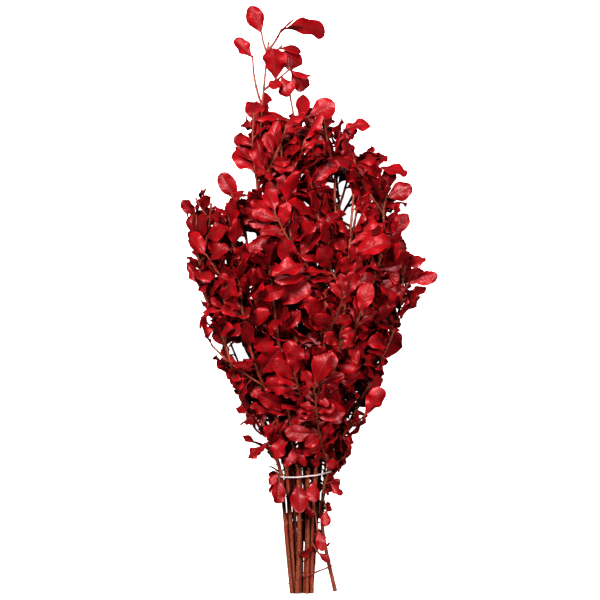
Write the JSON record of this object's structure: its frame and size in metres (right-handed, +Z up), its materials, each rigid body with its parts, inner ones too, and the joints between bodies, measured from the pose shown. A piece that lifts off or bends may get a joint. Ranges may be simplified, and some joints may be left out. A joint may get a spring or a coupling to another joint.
{
  "type": "preserved pittosporum stem bunch",
  "caption": "Lying bunch of preserved leafy pittosporum stems dyed deep red, held by an elastic band and a thread.",
  "frame": {"origin": "middle of the bunch's bounding box, on the surface that it lies on", "axes": "+Z up from the surface, +Y along the stems from the cut ends to the leafy tips, +X to the right as seen from above with the tips away"},
  "size_m": [0.2826, 0.6484, 0.1546],
  "materials": {
    "foliage": "satin",
    "bark": "matte",
    "elastic": "matte",
    "thread": "matte"
  },
  "bodies": {
    "root": {"leafy_stem_01": "foliage", "leafy_stem_02": "foliage", "leafy_stem_03": "foliage", "leafy_stem_04": "foliage", "leafy_stem_05": "foliage", "leafy_stem_06": "foliage", "leafy_stem_07": "foliage", "leafy_stem_08": "foliage", "leafy_stem_09": "foliage", "leafy_stem_10": "foliage", "leafy_stem_11": "foliage", "leafy_stem_12": "foliage", "leafy_stem_13": "foliage", "leafy_stem_14": "foliage", "elastic_band": "elastic", "lower_thread": "thread"}
  },
  "joints": []
}
